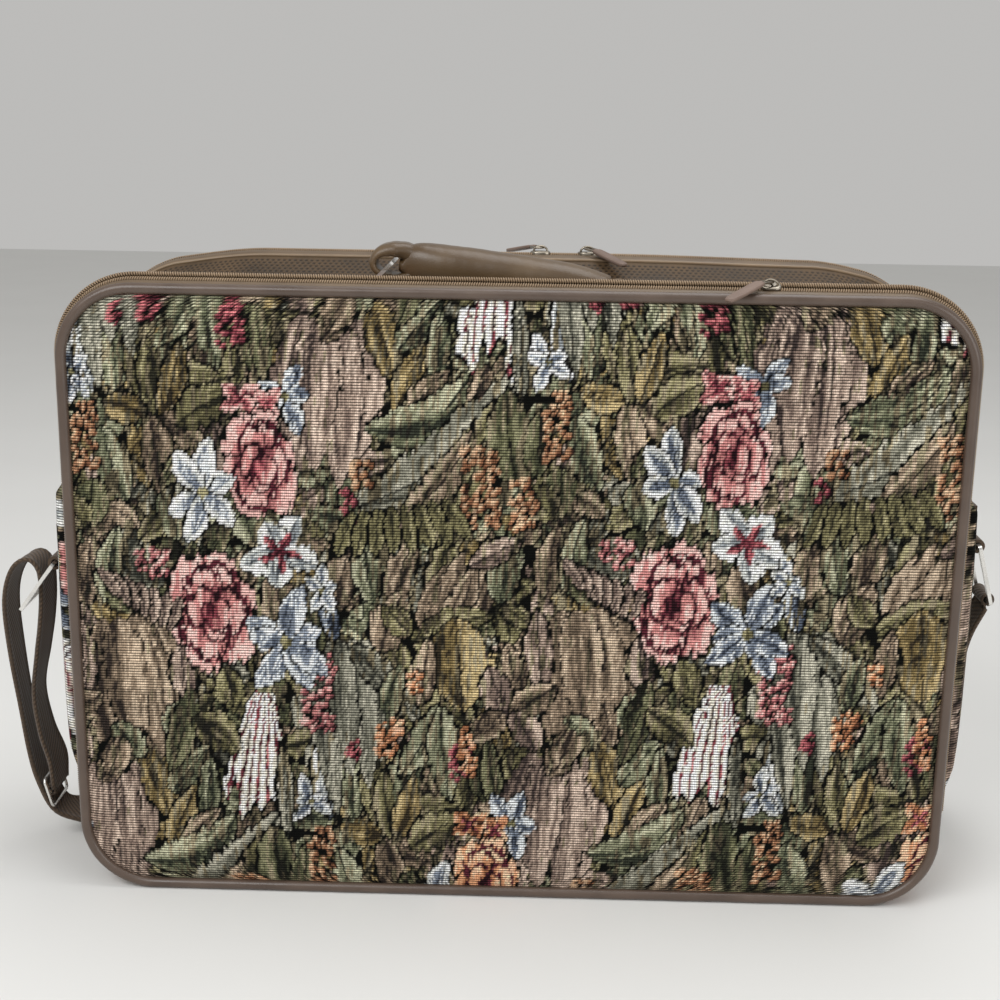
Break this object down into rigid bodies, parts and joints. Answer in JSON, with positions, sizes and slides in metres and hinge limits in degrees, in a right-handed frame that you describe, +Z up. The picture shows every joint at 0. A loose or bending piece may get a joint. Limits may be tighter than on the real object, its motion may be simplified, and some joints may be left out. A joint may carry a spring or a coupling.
{
  "type": "suitcase",
  "caption": "Soft-sided floral tapestry carry suitcase with vinyl piping, zipped front and rear lids, a padded top handle on rings and a webbing shoulder strap.",
  "frame": {"origin": "on the ground under the middle of the case, without the strap", "axes": "+X to the right along the long side, +Y to the back, +Z up; the front lid faces -Y"},
  "size_m": [0.6327, 0.2292, 0.3983],
  "materials": {
    "tapestry": "woven floral tapestry",
    "vinyl": "smooth brown vinyl",
    "zip_tape": "brown woven tape",
    "zip_coil": "brown nylon coil",
    "webbing": "brown twill webbing",
    "chrome": "bright nickel plate",
    "zip_metal": "satin nickel",
    "pull_vinyl": "grey-brown vinyl",
    "lining": "plain woven lining",
    "board": "stiff board"
  },
  "bodies": {
    "case": {"top_gusset": "tapestry", "trim_band": "vinyl", "trim_bead": "vinyl", "side_gusset_left": "tapestry", "side_gusset_right": "tapestry", "lower_gusset": "tapestry", "front_zip_body_tape": "zip_tape", "front_zip_body_coil": "zip_coil", "rear_zip_body_tape": "zip_tape", "rear_zip_body_coil": "zip_coil", "divider_panel": "lining", "bottom_board": "board", "handle_plate": "board", "handle_chape_left": "vinyl", "handle_chape_right": "vinyl", "handle_rivets": "zip_metal", "strap_chape_left": "vinyl", "strap_chape_right": "vinyl", "strap_ring_right": "chrome", "shoulder_strap": "webbing", "strap_slide": "chrome"},
    "front_lid": {"front_panel": "tapestry", "front_lining": "lining", "front_piping": "vinyl", "front_zip_lid_tape": "zip_tape", "front_zip_lid_coil": "zip_coil"},
    "rear_lid": {"rear_panel": "tapestry", "rear_lining": "lining", "rear_piping": "vinyl", "rear_zip_lid_tape": "zip_tape", "rear_zip_lid_coil": "zip_coil"},
    "front_slider": {"front_slider": "zip_metal"},
    "front_pull": {"front_pull": "pull_vinyl"},
    "rear_slider_left": {"rear_slider_left": "zip_metal"},
    "rear_pull_left": {"rear_pull_left": "pull_vinyl"},
    "rear_slider_right": {"rear_slider_right": "zip_metal"},
    "rear_pull_right": {"rear_pull_right": "pull_vinyl"},
    "handle_ring_right": {"handle_ring_right": "chrome"},
    "handle_ring_left": {"handle_ring_left": "chrome"},
    "handle": {"handle_grip": "vinyl"},
    "strap_ring_left": {"strap_ring_left": "chrome"}
  },
  "joints": [
    {"name": "front_lid_hinge", "type": "hinge", "parent": "case", "child": "front_lid", "pos_m": [0, -0.0718, 0.0032], "axis": [1, 0, 0], "range_deg": [0, 88]},
    {"name": "rear_lid_hinge", "type": "hinge", "parent": "case", "child": "rear_lid", "pos_m": [0, 0.0718, 0.0032], "axis": [-1, 0, 0], "range_deg": [0, 82]},
    {"name": "front_slider_run", "type": "slide", "parent": "case", "child": "front_slider", "axis": [1, 0, 0], "range_m": [-0.33, 0.06]},
    {"name": "front_pull_flip", "type": "hinge", "parent": "front_slider", "child": "front_pull", "pos_m": [0.144, -0.0585, 0.3834], "axis": [-0.7547, 0.6561, 0], "range_deg": [0, 150]},
    {"name": "rear_slider_left_run", "type": "slide", "parent": "case", "child": "rear_slider_left", "axis": [1, 0, 0], "range_m": [-0.2, 0.015]},
    {"name": "rear_pull_left_flip", "type": "hinge", "parent": "rear_slider_left", "child": "rear_pull_left", "pos_m": [0.013, 0.052, 0.3904], "axis": [0.866, 0.5, 0], "range_deg": [0, 150]},
    {"name": "rear_slider_right_run", "type": "slide", "parent": "case", "child": "rear_slider_right", "axis": [1, 0, 0], "range_m": [-0.015, 0.155]},
    {"name": "rear_pull_right_flip", "type": "hinge", "parent": "rear_slider_right", "child": "rear_pull_right", "pos_m": [0.043, 0.052, 0.3904], "axis": [-0.848, -0.5299, 0], "range_deg": [0, 150]},
    {"name": "handle_lift", "type": "hinge", "parent": "case", "child": "handle_ring_right", "pos_m": [0.086, -0.008, 0.36651], "axis": [0, 1, 0], "range_deg": [0, 24.99]},
    {"name": "handle_ring_left_swing", "type": "hinge", "parent": "case", "child": "handle_ring_left", "pos_m": [-0.096, -0.008, 0.36651], "axis": [0, 1, 0], "range_deg": [0, 11.05]},
    {"name": "handle_swing", "type": "hinge", "parent": "handle_ring_left", "child": "handle", "pos_m": [-0.07586, -0.008, 0.38596], "axis": [0, 1, 0], "range_deg": [-17.7, 0]},
    {"name": "strap_ring_left_swing", "type": "hinge", "parent": "case", "child": "strap_ring_left", "pos_m": [-0.29172, 0, 0.192], "axis": [0, 1, 0], "range_deg": [-8, 12]}
  ],
  "couplings": [
    {"joint": "handle_ring_left_swing", "follows": "handle_lift", "ratio": 0.44051},
    {"joint": "handle_swing", "follows": "handle_lift", "ratio": -0.70518}
  ]
}
